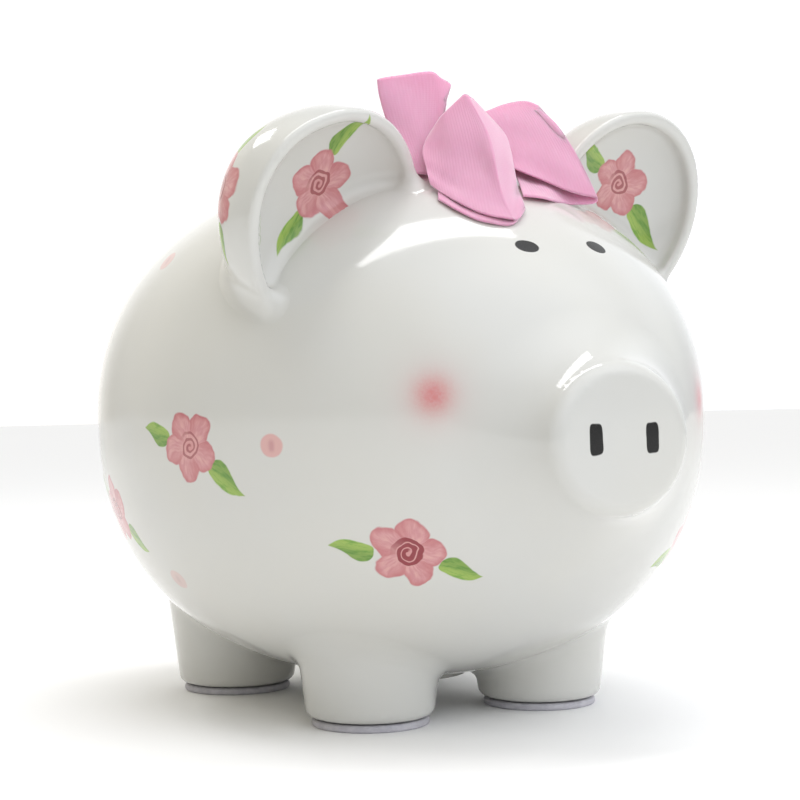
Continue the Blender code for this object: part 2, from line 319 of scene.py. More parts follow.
def ear_solid(ear):
    """The function of one ear, merged into the body by a fillet and cut off a little under its surface."""
    side = ear["side"]
    centre = np.array((side * ear["centre"][0], *ear["centre"][1:])) * MM
    lean = radians(ear["lean"])
    along = Vector((-side * cos(lean), 0, sin(lean)))
    out = Vector((side * sin(lean), 0, cos(lean)))
    aim = Matrix.Rotation(side * radians(ear["yaw"]), 3, "Z") @ Matrix.Rotation(radians(ear["pitch"]), 3, "X")
    axes = np.array([aim @ along, aim @ out, aim @ Vector((0, -1, 0))])
    sizes = np.array((ear["half_base"], ear["half_height"], ear["depth"])) * MM

    def ring(local):
        u, v = np.abs(local[:, 0] / sizes[0]), np.abs(local[:, 1] / sizes[1])
        return (u ** ear["power"] + v ** ear["power"] + 1e-12) ** (1 / ear["power"])

    def outer(points):
        local = (points - centre) @ axes.T
        back = np.maximum(-local[:, 2] - EAR_RIM, 0) / (sizes[2] - EAR_RIM)
        return (ring(local) ** EAR_POWER + back**EAR_POWER) ** (1 / EAR_POWER) - 1

    def cup(points):
        local = (points - centre) @ axes.T
        back = np.maximum(-local[:, 2] - EAR_RIM, 0) / (EAR_CUP_DEPTH - EAR_RIM)
        return np.hypot(ring(local) / (1 - EAR_WALL / sizes[0]), back) - 1

    def solid(points):
        front = (points - centre) @ axes[2]
        wall = common(as_distance(outer, points), -as_distance(cup, points), EAR_EDGE)
        wall = common(wall, front, EAR_EDGE)
        body = egg(points)
        joined = merge(wall, body + EAR_OVERLAP, EAR_FILLET)
        return np.maximum(np.maximum(joined, wall - EAR_FILLET), -body - EAR_ROOT)

    return solid


# ---- Shader nodes ----


def rgb(red, green, blue):
    """A linear colour from the usual 0 to 255 values."""
    shares = [c / 255 for c in (red, green, blue)]
    return (*(((c + 0.055) / 1.055) ** 2.4 if c > 0.04045 else c / 12.92 for c in shares), 1.0)


class Graph:
    """Short calls that add nodes to a material. Most take sockets or values and return an output socket."""

    def __init__(self, name):
        self.material = bpy.data.materials.new(name)
        self.material.use_nodes = True
        self.tree = self.material.node_tree
        self.shader = self.tree.nodes["Principled BSDF"]

    def plug(self, socket, value):
        if isinstance(value, bpy.types.NodeSocket):
            self.tree.links.new(value, socket)
        else:
            socket.default_value = value

    def node(self, kind, inputs, **settings):
        node = self.tree.nodes.new(f"ShaderNode{kind}")
        for name, value in settings.items():
            setattr(node, name, value)
        for key, value in inputs.items():
            self.plug(node.inputs[key], value)
        return node

    def math(self, operation, *values, clamp=False):
        node = self.node("Math", dict(enumerate(values)), operation=operation, use_clamp=clamp)
        return node.outputs[0]

    def times(self, first, second):
        return self.math("MULTIPLY", first, second)

    def hypot(self, x, y):
        return self.math("SQRT", self.math("ADD", self.times(x, x), self.times(y, y)))

    def ramp(self, value, low, high, to_low=0.0, to_high=1.0):
        """value moved smoothly from low..high to to_low..to_high."""
        inputs = {"Value": value, "From Min": low, "From Max": high, "To Min": to_low, "To Max": to_high}
        return self.node("MapRange", inputs, interpolation_type="SMOOTHSTEP").outputs["Result"]

    def mix(self, factor, first, second, blend="MIX"):
        node = self.node("Mix", {0: factor, 6: first, 7: second}, data_type="RGBA", blend_type=blend)
        return node.outputs[2]

    def place(self):
        return self.node("TexCoord", {}).outputs["Object"]

    def noise(self, at, scale, detail=2.0):
        return self.node("TexNoise", {"Vector": at, "Scale": scale, "Detail": detail}).outputs["Fac"]

    def patchy(self, scale, to_low=0.0, to_high=1.0, detail=2.0):
        """Soft blotches all over the piece, from to_low to to_high."""
        return self.ramp(self.noise(self.place(), scale, detail), 0.3, 0.7, to_low, to_high)

    def attribute(self, name):
        """The four numbers of a mark: across, up, whether it is there, and its style."""
        node = self.node("Attribute", {}, attribute_name=name)
        parts = self.node("SeparateColor", {"Color": node.outputs["Color"]}).outputs
        return parts[0], parts[1], parts[2], node.outputs["Alpha"]

    def vector(self, x, y, z=0.0):
        return self.node("CombineXYZ", {"X": x, "Y": y, "Z": z}).outputs[0]

    def bump(self, height, distance, strength=1.0):
        inputs = {"Height": height, "Distance": distance, "Strength": strength}
        return self.node("Bump", inputs).outputs["Normal"]

    def grain(self, scale, distance):
        """Fine bumps all over the piece."""
        return self.bump(self.noise(self.place(), scale), distance)

    def finish(self, **inputs):
        for name, value in inputs.items():
            self.plug(self.shader.inputs[name.replace("_", " ")], value)
        return self.material


# ---- The painted glaze ----

WHITE = rgb(214, 214, 210)
CREAM = rgb(218, 216, 207)
PETAL = rgb(206, 142, 146)
PETAL_PALE = rgb(226, 176, 172)
PETAL_DEEP = rgb(186, 96, 104)
SPIRAL = rgb(140, 38, 50)
LEAF = rgb(112, 160, 66)
LEAF_PALE = rgb(160, 188, 92)
LEAF_DEEP = rgb(84, 128, 56)
DOT = rgb(222, 160, 156)
INK = rgb(8, 8, 8)
# Pink of the cheeks' airbrushed blush and of the painted pink bounce light under the bow
BLUSH_AND_BOUNCE_PINK = rgb(214, 138, 138)

# How the brush wanders: the scale of the noise, and the shift that sets its second direction apart
WANDER_SCALE = 170.0
WANDER_SHIFT = (0.3, 0.7, 0.5)

# A flower in units of its radius: its petals' middles and half sizes, and the spacing of its spiral
PETALS = 5
PETAL_MIDDLE = 0.53
PETAL_HALF_LENGTH = 0.49
PETAL_HALF_WIDTH = 0.43
SPIRAL_PITCH = 0.155
SPIRAL_START = 1.04

# A leaf's outline: how fast it swells from its root and narrows to its tip, and how much it bends
LEAF_SWELL = 0.55
LEAF_NARROWING = 1.15
LEAF_FULLNESS = 2.9
LEAF_BEND = 0.045


def wandered(graph, across, up, amount):
    """A mark's coordinates with the small wander of a hand-held brush."""
    at = graph.place()
    shifted = graph.node("VectorMath", {0: at, 1: WANDER_SHIFT}, operation="ADD").outputs[0]
    moved = []
    for source, along in ((at, across), (shifted, up)):
        wander = graph.math("SUBTRACT", graph.noise(source, WANDER_SCALE), 0.5)
        moved.append(graph.math("MULTIPLY_ADD", wander, amount, along))
    return moved


def petals(graph, under):
    """Round petals and a spiral, in units of the flower's radius."""
    across, up, there, bold = graph.attribute("flower")
    x, y = wandered(graph, across, up, 0.34)
    radius = graph.hypot(x, y)
    turn = graph.math("DIVIDE", graph.math("ARCTAN2", y, x), 2 * pi)
    sector = graph.times(turn, PETALS)
    number = graph.math("ROUND", sector)
    off_turn = graph.times(graph.math("SUBTRACT", sector, number), 2 * pi / PETALS)
    along = graph.math("SUBTRACT", graph.times(radius, graph.math("COSINE", off_turn)), PETAL_MIDDLE)
    side = graph.times(radius, graph.math("SINE", off_turn))
    from_middle = graph.hypot(
        graph.math("DIVIDE", along, PETAL_HALF_LENGTH), graph.math("DIVIDE", side, PETAL_HALF_WIDTH)
    )
    petal = graph.ramp(from_middle, 0.92, 1.04, 1.0, 0.0)
    heart = graph.ramp(radius, 0.36, 0.44, 1.0, 0.0)
    cover = graph.times(graph.math("MAXIMUM", petal, heart), there)
    brushed = graph.vector(graph.times(off_turn, 2.4), graph.times(radius, 1.1), number)
    strokes = graph.noise(brushed, 3.2, 3.0)
    colour = graph.mix(graph.ramp(strokes, 0.25, 0.85), PETAL, PETAL_PALE)
    overlap = graph.ramp(side, -0.1, 0.36, 0.0, 0.55)
    rim = graph.ramp(from_middle, 0.55, 1.02, 0.0, 0.62)
    colour = graph.mix(graph.math("MAXIMUM", overlap, rim), colour, PETAL_DEEP)
    colour = graph.mix(graph.ramp(radius, 0.2, 0.5, 0.45, 0.0), colour, PETAL_PALE)
    line = graph.times(spiral(graph, radius, turn, bold), there)
    return graph.mix(line, graph.mix(cover, under, colour), SPIRAL)


def spiral(graph, radius, turn, bold):
    """How much of a spiral's brush line is at a point; it widens with bold."""
    part = graph.math("FRACT", graph.math("ADD", turn, SPIRAL_START))
    turns = graph.math("SUBTRACT", graph.math("DIVIDE", radius, SPIRAL_PITCH), part)
    number = graph.math("ROUND", turns)
    off_line = graph.times(graph.math("ABSOLUTE", graph.math("SUBTRACT", turns, number)), SPIRAL_PITCH)
    half = graph.math("MULTIPLY_ADD", bold, 0.028, 0.034)
    drawn = graph.ramp(graph.math("SUBTRACT", half, off_line), -0.012, 0.012)
    total = graph.math("ADD", number, part)
    started = graph.ramp(total, 0.1, 0.35)
    ended = graph.ramp(total, 2.3, 2.6, 1.0, 0.0)
    strength = graph.math("MULTIPLY_ADD", bold, 0.3, 0.62)
    return graph.times(graph.times(drawn, graph.times(started, ended)), strength)


def leaves(graph, under):
    """Brush-stroke leaves: across runs from the leaf's root, 0, to its tip, 1."""
    across, up, there, wide = graph.attribute("leaf")
    x, y = wandered(graph, across, up, 0.10)
    inside = graph.times(graph.ramp(x, 0.0, 0.03), graph.ramp(x, 0.97, 1.0, 1.0, 0.0))
    clipped = graph.math("MINIMUM", graph.math("MAXIMUM", x, 0.001), 0.999)
    swell = graph.math("POWER", clipped, LEAF_SWELL)
    taper = graph.math("POWER", graph.math("SUBTRACT", 1.0, clipped), LEAF_NARROWING)
    half = graph.times(graph.times(swell, taper), graph.times(wide, LEAF_FULLNESS))
    bend = graph.times(graph.math("SINE", graph.times(clipped, 2 * pi)), LEAF_BEND)
    off = graph.math("ABSOLUTE", graph.math("SUBTRACT", y, bend))
    cover = graph.ramp(graph.math("SUBTRACT", half, off), -0.012, 0.022)
    cover = graph.times(graph.times(cover, inside), there)
    streaks = graph.noise(graph.vector(graph.times(x, 1.6), graph.times(y, 9.0), wide), 2.2, 3.0)
    colour = graph.mix(graph.ramp(streaks, 0.38, 0.62), LEAF, LEAF_PALE)
    colour = graph.mix(graph.ramp(y, -0.12, 0.1, 0.0, 0.45), colour, LEAF_DEEP)
    return graph.mix(cover, under, colour)


def dots(graph, under):
    """Round dabs, each with a deeper stroke down its middle."""
    across, up, there, strength = graph.attribute("dot")
    x, y = wandered(graph, across, up, 0.22)
    radius = graph.hypot(x, y)
    cover = graph.times(graph.ramp(radius, 0.86, 1.04, 1.0, 0.0), there)
    stroke = graph.ramp(graph.math("ABSOLUTE", x), 0.05, 0.45, 0.6, 0.0)
    inner = graph.ramp(radius, 0.2, 0.7, 1.0, 0.0)
    colour = graph.mix(graph.times(stroke, inner), DOT, PETAL_DEEP)
    return graph.mix(graph.times(cover, strength), under, colour)


def ink(graph, under):
    """Eyes and nostrils. Their style is the outline's power: 2 for an ellipse, more for a rounded box."""
    across, up, there, power = graph.attribute("ink")
    raised = []
    for side in wandered(graph, across, up, 0.24):
        size = graph.math("MAXIMUM", graph.math("ABSOLUTE", side), 0.001)
        raised.append(graph.math("POWER", size, power))
    root = graph.math("DIVIDE", 1.0, graph.math("MAXIMUM", power, 1.0))
    from_middle = graph.math("POWER", graph.math("ADD", *raised), root)
    cover = graph.times(graph.ramp(from_middle, 0.93, 1.03, 1.0, 0.0), there)
    hairs = graph.noise(graph.vector(graph.times(across, 1.2), graph.times(up, 7.0)), 2.5, 4.0)
    colour = graph.mix(graph.ramp(hairs, 0.5, 0.8, 0.0, 0.05), INK, WHITE)
    return graph.mix(cover, under, colour)


def painted_glaze():
    graph = Graph("painted glaze")
    colour = graph.mix(graph.patchy(26.0, 0.0, 0.35), WHITE, CREAM)
    # Airbrushed blush on the cheeks, and painted pink bounce light and shade under the bow
    blush_and_bounce = graph.node("Attribute", {}, attribute_name="blush_and_bounce").outputs["Fac"]
    speckle = graph.patchy(1400.0, 0.92, 1.08)
    colour = graph.mix(graph.math("MULTIPLY", blush_and_bounce, speckle, clamp=True), colour, BLUSH_AND_BOUNCE_PINK)
    for painted in (dots, leaves, petals, ink):
        colour = painted(graph, colour)
    return graph.finish(
        Base_Color=colour,
        Roughness=graph.patchy(60.0, 0.07, 0.12, detail=3.0),
        IOR=1.48,
        Coat_Weight=0.1,
        Coat_Roughness=0.02,
        Normal=graph.bump(graph.noise(graph.place(), 55.0, 1.0), 0.12 * MM, 0.6),
    )


# Places on the surface in millimetres. Angles are in degrees, from the level direction to the right as seen
# from outside. A flower's leaves are (angle, reach in flower radii, half width).
FLOWER_RADIUS = 9.6 * MM
BODY_FLOWERS = (
    {"at": (-79.7, -22.7, 76), "turn": -24, "bold": 0.0, "leaves": ((166, 2.1, 0.23), (-36, 2.25, 0.23))},
    {"at": (-43.1, -68.4, 49.4), "turn": 4, "bold": 1.0, "leaves": ((177, 2.1, 0.23), (-25, 2.1, 0.23))},
    {"at": (-77.5, 27.7, 57.3), "turn": 20, "bold": 0.4, "leaves": ((150, 2.1, 0.23), (-36, 2.1, 0.23))},
    {"at": (50.5, -61, 48), "turn": 30, "bold": 0.6, "leaves": ((206, 2.2, 0.23), (15, 2.1, 0.23))},
    {"at": (80, -18, 78), "turn": 10, "bold": 0.2, "leaves": ((20, 2.1, 0.23), (-145, 2.2, 0.23))},
    {"at": (76, 32, 56), "turn": -15, "bold": 0.7, "leaves": ((40, 2.1, 0.23), (-150, 2.1, 0.23))},
    {"at": (-26, 93, 62), "turn": 25, "bold": 0.5, "leaves": ((160, 2.1, 0.23), (-20, 2.1, 0.23))},
    {"at": (30, 88, 104), "turn": -5, "bold": 0.3, "leaves": ((130, 2.1, 0.23), (-40, 2.1, 0.23))},
)
EAR_FLOWERS = {
    "ear_right": (
        {"at": (-51, -36, 144.2), "turn": 28, "bold": 0.3, "leaves": ((80, 2.25, 0.2), (-122, 2.3, 0.16))},
        {"at": (-76.4, -36.6, 140.7), "turn": 10, "bold": 0.3, "leaves": ((75, 1.9, 0.2), (-96, 1.95, 0.2))},
    ),
    "ear_left": (
        {"at": (50.4, -33.8, 149.2), "turn": 6, "bold": 0.3, "leaves": ((151, 2.3, 0.23), (-51, 2.45, 0.23))},
    ),
}
DOTS = (
    {"at": (-69.4, -47.7, 76.2), "size": (3.4, 3.1), "turn": 0, "style": 0.75},
    {"at": (-68.6, 11.6, 126), "size": (3.6, 3.2), "turn": 0, "style": 0.55},
    {"at": (-71.7, 1.2, 39.7), "size": (3.6, 3.2), "turn": 0, "style": 0.4},
    {"at": (72, -44, 70), "size": (3.4, 3.1), "turn": 0, "style": 0.7},
    {"at": (70, 10, 124), "size": (3.5, 3.2), "turn": 0, "style": 0.55},
    {"at": (72, 4, 40), "size": (3.4, 3.2), "turn": 0, "style": 0.5},
    {"at": (4, 98, 84), "size": (3.4, 3.2), "turn": 0, "style": 0.6},
)
EYE = (3.3, 2.2)
NOSTRIL = (2.05, 3.9)
INKED = (
    {"at": (-9.5, -73.8, 125.3), "size": EYE, "turn": -8, "style": 2.0},
    {"at": (13.8, -72.4, 126), "size": EYE, "turn": -12, "style": 2.0},
    {"at": (-9.0, -100, 76.8), "size": NOSTRIL, "turn": 3, "style": 5.0},
    {"at": (8.6, -100, 76.8), "size": NOSTRIL, "turn": 2, "style": 5.0},
)
CHEEKS = ((-41.3, -77.8, 88.1), (48, -73, 86))

# Pink: (strength, reach in millimetres) of each glow. The cheeks' glows are airbrushed blush, and the
# bow's glow is painted pink bounce light and shade on the head under it.
CHEEK_GLOWS = ((0.8, 4.6), (0.16, 9.0))
# Painted pink bounce light and shade on the head under the bow: its glow, middle and stretch
PAINTED_BOW_BOUNCE = (0.2, 19.0)
PAINTED_BOW_BOUNCE_AT = (-4, -48, 148)
PAINTED_BOW_BOUNCE_SHAPE = (1.25, 1.0, 1.0)

# Leaves start this far from their flower's middle, in flower radii
LEAF_ROOT = 0.85


def axes_at(solid, place):
    """A surface's point nearest a place, with the directions right, up and out as seen from outside."""
    point = onto_surface(solid, np.array([place]) * MM, 6)[0]
    out = normals_of(solid, point[None])[0]
    level = np.array((0, 0, 1.0)) if abs(out[2]) < 0.9 else np.array((0, -1.0, 0))
    up = level - out * (out @ level)
    up /= np.linalg.norm(up)
    return point, np.cross(up, out), up, out


def turned(right, up, angle):
    a = radians(angle)
    return right * cos(a) + up * sin(a), up * cos(a) - right * sin(a)


def stamps(solid, marks):
    """Each mark: its middle, its two axes over their sizes, the way out of the surface, reach and style."""
    for mark in marks:
        point, right, up, out = axes_at(solid, mark["at"])
        right, up = turned(right, up, mark["turn"])
        size = np.array(mark["size"]) * MM
        yield point, right / size[0], up / size[1], out, 1.3 * size.max() + BODY_CELL, mark["style"]


def flower_stamps(solid, flowers):
    for flower in flowers:
        point, right, up, out = axes_at(solid, flower["at"])
        right, up = turned(right, up, flower["turn"])
        yield point, right / FLOWER_RADIUS, up / FLOWER_RADIUS, out, 1.3 * FLOWER_RADIUS, flower["bold"]


def leaf_stamps(solid, flowers):
    """Leaves start under the petals and run straight out."""
    for flower in flowers:
        point, right, up, out = axes_at(solid, flower["at"])
        for angle, reach, width in flower["leaves"]:
            ahead, beside = turned(right, up, angle)
            root = point + ahead * LEAF_ROOT * FLOWER_RADIUS
            long = (reach - LEAF_ROOT) * FLOWER_RADIUS
            yield root, ahead / long, beside / long, out, 1.25 * long, width


def lay(obj, points, normals, name, made):
    """Writes the coordinates of the nearest mark at each point of a mesh: across, up, there and style."""
    values = np.zeros((len(points), 4))
    nearest = np.full(len(points), np.inf)
    for middle, across, up, out, reach, style in made:
        offset = points - middle
        away = np.linalg.norm(offset, axis=1) / reach
        near = away < nearest
        nearest[near] = away[near]
        there = (away < 1) & (normals @ out > 0.1)
        mark = np.stack([offset @ across, offset @ up, there, np.full(len(points), style)], axis=-1)
        values[near] = mark[near]
    layer = obj.data.attributes.new(name, "FLOAT_COLOR", "POINT")
    layer.data.foreach_set("color", values.astype(np.float32).ravel())


def paint(obj, solid, flowers, spots=(), inked=()):
    points = places_of(obj)
    normals = normals_of(solid, points)
    lay(obj, points, normals, "flower", flower_stamps(solid, flowers))
    lay(obj, points, normals, "leaf", leaf_stamps(solid, flowers))
    lay(obj, points, normals, "dot", stamps(solid, spots))
    lay(obj, points, normals, "ink", stamps(solid, inked))


def places_of(obj):
    flat = np.zeros(3 * len(obj.data.vertices))
    obj.data.vertices.foreach_get("co", flat)
    return flat.reshape(-1, 3)


def glow(points, middle, strength, reach):
    return strength * np.exp(-((np.linalg.norm(points - middle, axis=1) / reach) ** 2))


def add_blush_and_bounce(obj):
    """Airbrushed pink on the cheeks, and painted pink bounce light and shade on the head round the bow, as a
    number at each point.
    """
    points = places_of(obj) / MM
    # Painted pink bounce light and shade on the head under the bow
    amount = glow((points - PAINTED_BOW_BOUNCE_AT) / PAINTED_BOW_BOUNCE_SHAPE, np.zeros(3), *PAINTED_BOW_BOUNCE)
    for cheek in CHEEKS:
        for strength, reach in CHEEK_GLOWS:
            amount += glow(points, cheek, strength, reach)
    layer = obj.data.attributes.new("blush_and_bounce", "FLOAT", "POINT")
    layer.data.foreach_set("value", amount.astype(np.float32))


# ---- Pieces ----


def glazed_pieces():
    glaze = painted_glaze()
    low, high = around(SHELL_LOW, SHELL_HIGH, 4 * MM)
    body = smooth_solid("body", shell, low, high, BODY_CELL)
    paint(body, shell, BODY_FLOWERS, DOTS, INKED)
    pieces = {"body_shell": body}
    for name, ear in EARS.items():
        low, high = around(*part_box(name), EAR_FILLET + 3 * MM)
        solid = ear_solid(ear)
        pieces[name] = smooth_solid(f"glazed_{name}", solid, low, high, EAR_CELL)
        paint(pieces[name], solid, EAR_FLOWERS[name])
    for name, piece in pieces.items():
        add_blush_and_bounce(piece)
        dress(piece, glaze, "bank", "glaze", name)


PAD_ROUND = 0.6 * MM
PAD_GROOVE = 0.25 * MM
PAD_GROOVE_REACH = 0.5 * MM


def pad_rubber():
    graph = Graph("foot pad")
    return graph.finish(
        Base_Color=graph.mix(graph.patchy(400.0, detail=3.0), rgb(190, 188, 196), rgb(206, 204, 210)),
        Roughness=graph.patchy(700.0, 0.55, 0.75),
        Normal=graph.grain(1500.0, 0.1 * MM),
    )


def foot_pads():
    """Soft discs under the feet, with a groove where each meets its foot."""
    rubber = pad_rubber()
    for name, x, y in leg_spots():
        low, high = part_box(f"foot_pad_{name}")
        radius = (high.x - low.x) / 2

        def disc(points):
            z = points[:, 2]
            groove = PAD_GROOVE * np.exp(-(((z - high.z) / PAD_GROOVE_REACH) ** 2))
            side = column(points, x, y) - radius + groove
            return common(side, np.abs(z - (low.z + high.z) / 2) - (high.z - low.z) / 2, PAD_ROUND)

        pad = smooth_solid(f"foot_disc_{name}", disc, *around(low, high, 1 * MM), SMALL_CELL)
        dress(pad, rubber, "bank", "foot_pad", f"foot_pad_{name}")


FLANGE_TOP = SEAT_Z - 0.15 * MM
BAR_HEIGHT = 2.6 * MM
FLANGE_HALF = (FLANGE_TOP - STOPPER_LOW.z - BAR_HEIGHT) / 2
FLANGE_RADIUS = (STOPPER_HIGH.x - STOPPER_LOW.x) / 2
PLUG_RADIUS = HOLE_RADIUS - 0.5 * MM
PLUG_WALL = 2.4 * MM
SEAL_RIB = 0.3 * MM
SEAL_RIB_PITCH = 3.6 * MM
BAR_HALF = (9 * MM, 1.5 * MM)
STOPPER_CELL = 0.8 * MM


def stopper_solid(points):
    """A cup-shaped plug with a flange, two sealing ribs and a finger bar."""
    from_axis = column(points, HOLE_X, HOLE_Y)
    z = points[:, 2]
    flange_middle = FLANGE_TOP - FLANGE_HALF
    flange = common(from_axis - FLANGE_RADIUS, np.abs(z - flange_middle) - FLANGE_HALF, 0.8 * MM)
    ribs = SEAL_RIB * np.maximum(np.cos(2 * pi * (z - FLANGE_TOP) / SEAL_RIB_PITCH), 0)
    tube = common(from_axis - PLUG_RADIUS + SEAL_RIB - ribs, PLUG_RADIUS - PLUG_WALL - from_axis, 0.4 * MM)
    plug = common(tube, np.maximum(z - STOPPER_HIGH.z, flange_middle - z), 0.6 * MM)
    across = np.abs(points[:, 0] - HOLE_X) - BAR_HALF[0]
    beside = np.abs(points[:, 1] - HOLE_Y) - BAR_HALF[1]
    bar = common(common(across, beside, 1.2 * MM), np.maximum(STOPPER_LOW.z - z, z - flange_middle), 0.8 * MM)
    return merge(merge(flange, plug, 0.8 * MM), bar, 0.8 * MM)


def soft_vinyl():
    graph = Graph("soft vinyl")
    return graph.finish(
        Base_Color=graph.mix(graph.patchy(120.0, detail=3.0), rgb(220, 219, 214), rgb(208, 206, 199)),
        Roughness=graph.patchy(500.0, 0.38, 0.5),
        Normal=graph.grain(900.0, 0.05 * MM),
    )


def stopper():
    low, high = around(STOPPER_LOW, STOPPER_HIGH, 2 * MM)
    piece = smooth_solid("soft_stopper", stopper_solid, low, high, STOPPER_CELL)
    dress(piece, soft_vinyl(), "stopper", "stopper", "belly_stopper")


def dress(piece, material, body, slot, *replaced):
    piece.data.materials.append(material)
    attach(piece, body)
    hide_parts(*replaced)


# ---- The bow ----

# Blobs of glue in millimetres: x, y, height above the head and radius
GLUE_BLOBS = ((0, -38, 1.0, 6.2), (4, -41, 0.2, 3.6), (-4.5, -36, 0.4, 3.4), (0.5, -43, 0.2, 3.0))
GLUE_FLATNESS = 0.42
GLUE_FILLET = 1.2 * MM
GLUE_CELL = 0.5 * MM


def on_head(x, y, lift):
    """A place in millimetres, lift above the head's surface at x, y."""
    spot = np.array([(x * MM, y * MM, SHELL_HIGH.z)])
    for _ in range(12):
        here, gradient = measured(egg, spot)
        spot[:, 2] -= here / gradient[:, 2]
    return np.array((x, y, spot[0, 2] / MM + lift))


def set_glue():
    graph = Graph("set glue")
    return graph.finish(
        Base_Color=graph.mix(graph.patchy(300.0), rgb(232, 226, 206), rgb(218, 208, 182)),
        Roughness=graph.patchy(400.0, 0.2, 0.35),
        Normal=graph.grain(500.0, 0.2 * MM),
        Subsurface_Weight=0.2,
    )


def glue():
    """A dab of hot-melt glue with a few runs, pressed between the knot and the head."""
    blobs = [(on_head(x, y, lift) * MM, size * MM) for x, y, lift, size in GLUE_BLOBS]

    def dab(points):
        solid = np.full(len(points), 0.1)
        for place, size in blobs:
            flat = (points - place) / (1, 1, GLUE_FLATNESS)
            solid = merge(solid, (np.linalg.norm(flat, axis=1) - size) * GLUE_FLATNESS, GLUE_FILLET)
        return common(solid, 0.1 * MM - egg(points), 0.3 * MM)

    low, high = around(*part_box("bow_glue_pad"), 2.5 * MM)
    piece = smooth_solid("glue_dab", dab, low, high, GLUE_CELL)
    dress(piece, set_glue(), "bank", "glue", "bow_glue_pad")


def through(points, at):
    """Points on a smooth curve through rows of points; at counts the rows from 0."""
    points = np.asarray(points, float)
    padded = np.concatenate([2 * points[:1] - points[1:2], points, 2 * points[-1:] - points[-2:-1]])
    k = np.minimum(np.asarray(at).astype(int), len(points) - 2)
    t = (at - k).reshape(-1, *[1] * (points.ndim - 1))
    a, b, c, d = (padded[k + i] for i in range(4))
    return b + 0.5 * t * (c - a + t * (2 * a - 5 * b + 4 * c - d + t * (3 * (b - c) + d - a)))


def evenly(rows, step):
    """Where to sample rows of points so that samples are about a step apart, and how far along each is."""
    fine = np.linspace(0, len(rows) - 1, 40 * len(rows))
    moved = np.linalg.norm(np.diff(through(rows, fine), axis=0), axis=-1).mean(axis=1)
    far = np.concatenate([[0], np.cumsum(moved)])
    stops = np.linspace(0, far[-1], int(far[-1] / step) + 2)
    return np.interp(stops, far, fine), stops


# The ribbon: a stock width in metres for its flat cuts, and its weave in millimetres
RIBBON_WIDTH = 0.038
RIBBON_HALF = 0.22
RIB_PITCH = 0.8
RIB_HEIGHT = 0.015
WARP_PITCH = 0.45
WEAVE_STEP = RIB_PITCH / 3
CROSS_STEP = 0.8
ROW_POINTS = 9
CRUMPLE_WAVES = ((0.55, 0.3, 1.3), (0.21, -0.42, 0.0))
# Ribbon pinks: the base; a deeper one for uneven dye and for the painted shade between the ribs; a paler one
# for the painted highlight on the warp threads
RIBBON = rgb(228, 168, 196)
RIBBON_DEEP = rgb(220, 154, 182)
RIBBON_THREAD_HIGHLIGHT = rgb(236, 192, 216)


def ribbon(name, rows, material, flat, crumple, held, rests_on, replaced):
    """Ribbon through rows of points in millimetres. Each row crosses it, from one selvage to the other."""
    rows = np.array([through(row, np.linspace(0, len(row) - 1, ROW_POINTS)) for row in rows])
    at, along = evenly(rows, WEAVE_STEP)
    surface = through(rows, at)
    columns = np.swapaxes(surface, 0, 1)
    across_at, across = evenly(columns, CROSS_STEP)
    surface = np.swapaxes(through(columns, across_at), 0, 1)
    way = np.stack(np.meshgrid(along, across, indexing="ij"), axis=-1)
    wave = sum(np.sin(a * way[..., 0] + b * way[..., 1] + start) for a, b, start in CRUMPLE_WAVES)
    normal = np.cross(np.gradient(surface, axis=0), np.gradient(surface, axis=1))
    normal /= np.linalg.norm(normal, axis=-1, keepdims=True) + 1e-9
    surface = surface + normal * (wave * crumple)[..., None]
    rib = RIBBON_HALF + RIB_HEIGHT * np.abs(np.sin(pi * way[..., 0] / RIB_PITCH))
    sides = np.stack([surface + normal * rib[..., None], surface - normal * rib[..., None]])
    piece = make_sheet(name, sides * MM, way)
    dress(piece, material, "bank", "ribbon", replaced)
    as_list(rests_on)


def corners_between(first, second):
    """Quads between matching rows of point numbers."""
    return np.stack([first[:, :-1], second[:, :-1], second[:, 1:], first[:, 1:]], axis=-1).reshape(-1, 4)


def make_sheet(name, sides, way):
    """A closed thin mesh from the points of its two faces. It keeps the way along and across the cloth."""
    _, count, width, _ = sides.shape
    index = np.arange(2 * count * width).reshape(2, count, width)
    faces = [corners_between(side[:-1], side[1:]) for side in index]
    faces += [corners_between(index[:1, k], index[1:, k]) for k in (0, -1)]
    faces += [corners_between(index[:1, :, k], index[1:, :, k]) for k in (0, -1)]
    obj = mesh_object(name, sides.reshape(-1, 3), np.concatenate(faces))
    shape = bmesh.new()
    shape.from_mesh(obj.data)
    bmesh.ops.recalc_face_normals(shape, faces=shape.faces)
    shape.to_mesh(obj.data)
    shape.free()
    layer = obj.data.attributes.new("weave", "FLOAT_VECTOR", "POINT")
    both = np.concatenate([way.reshape(-1, 2)] * 2)
    layer.data.foreach_set("vector", np.pad(both, ((0, 0), (0, 1))).astype(np.float32).ravel())
    return obj


